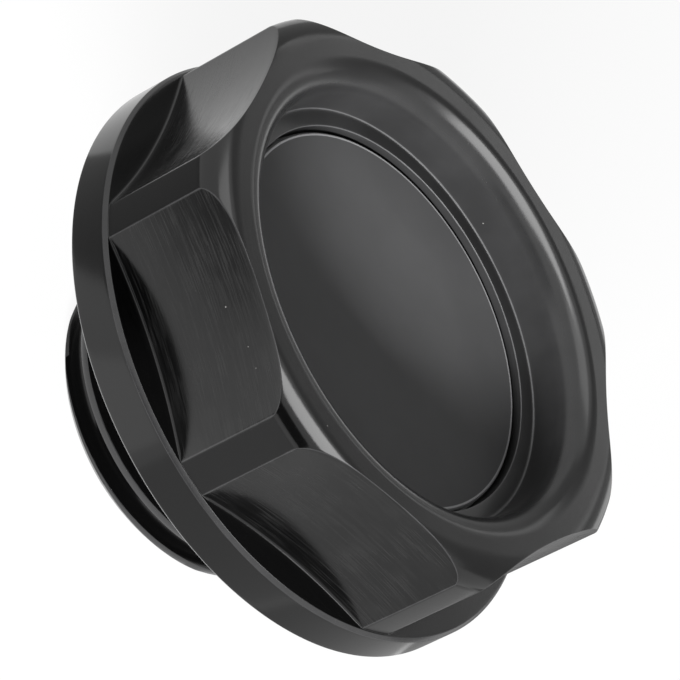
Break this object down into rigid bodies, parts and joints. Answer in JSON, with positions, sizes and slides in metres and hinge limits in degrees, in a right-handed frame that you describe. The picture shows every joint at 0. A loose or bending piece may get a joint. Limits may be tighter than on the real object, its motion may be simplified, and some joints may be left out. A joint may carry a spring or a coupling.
{
  "type": "oil filler cap",
  "caption": "Screw-in oil filler cap with a lobed grip head, a flat flange, a blank badge disc in a top recess and a hollow threaded neck with a sealing ring.",
  "frame": {"origin": "on the cap's axis, at the open end of the neck, on which it stands", "axes": "+Z along the cap's axis, from the neck to the top of the grip; -Y through the middle of one lobe"},
  "size_m": [0.062, 0.062, 0.0344],
  "materials": {
    "body": "black anodised, semi-gloss, turned and milled",
    "disc": "black anodised, fine satin",
    "seal": "smooth moulded black rubber"
  },
  "bodies": {
    "root": {"cap_body": "body", "badge_disc": "disc", "sealing_ring": "seal"}
  },
  "joints": []
}
